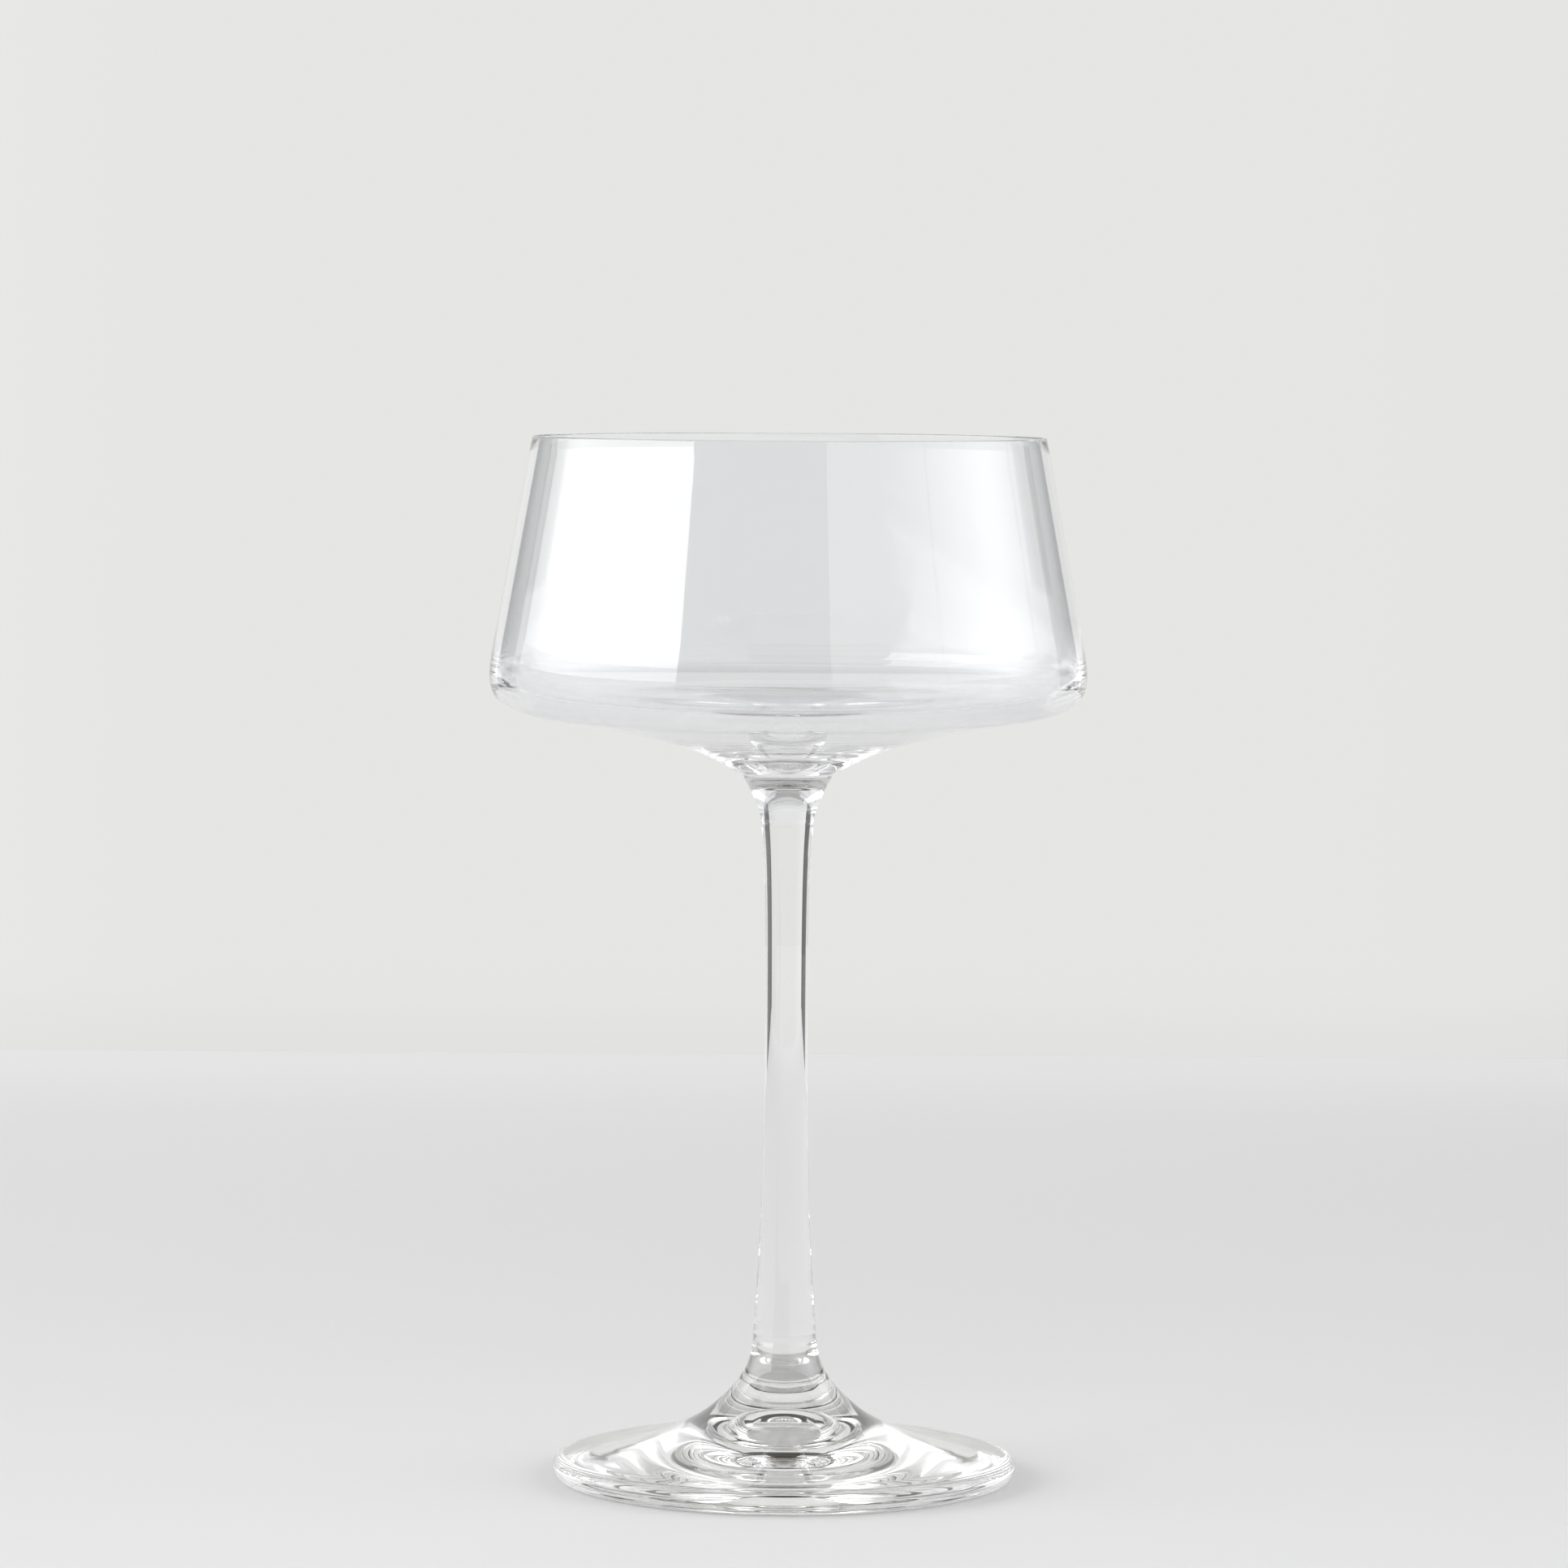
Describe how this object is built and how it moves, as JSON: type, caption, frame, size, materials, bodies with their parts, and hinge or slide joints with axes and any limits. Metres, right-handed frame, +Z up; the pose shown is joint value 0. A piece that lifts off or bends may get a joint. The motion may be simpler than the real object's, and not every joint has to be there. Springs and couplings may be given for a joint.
{
  "type": "cocktail glass",
  "caption": "Stemmed cocktail glass with a wide, shallow bowl that leans in to the rim, a slim solid stem and a round foot; holds a drink served up.",
  "frame": {"origin": "centre of the resting ring, on the surface the glass stands on", "axes": "+Z up along the glass's axis of revolution, from the foot to the rim; +X and +Y are any two level directions"},
  "size_m": [0.097, 0.097, 0.17],
  "materials": {
    "bowl_glass": "clear, polished, thin blown wall",
    "stem_glass": "clear, polished, solid drawn glass",
    "foot_glass": "clear, fire-polished, solid pressed glass with a faint warm tint"
  },
  "bodies": {
    "root": {"bowl": "bowl_glass", "stem": "stem_glass", "foot": "foot_glass"}
  },
  "joints": []
}
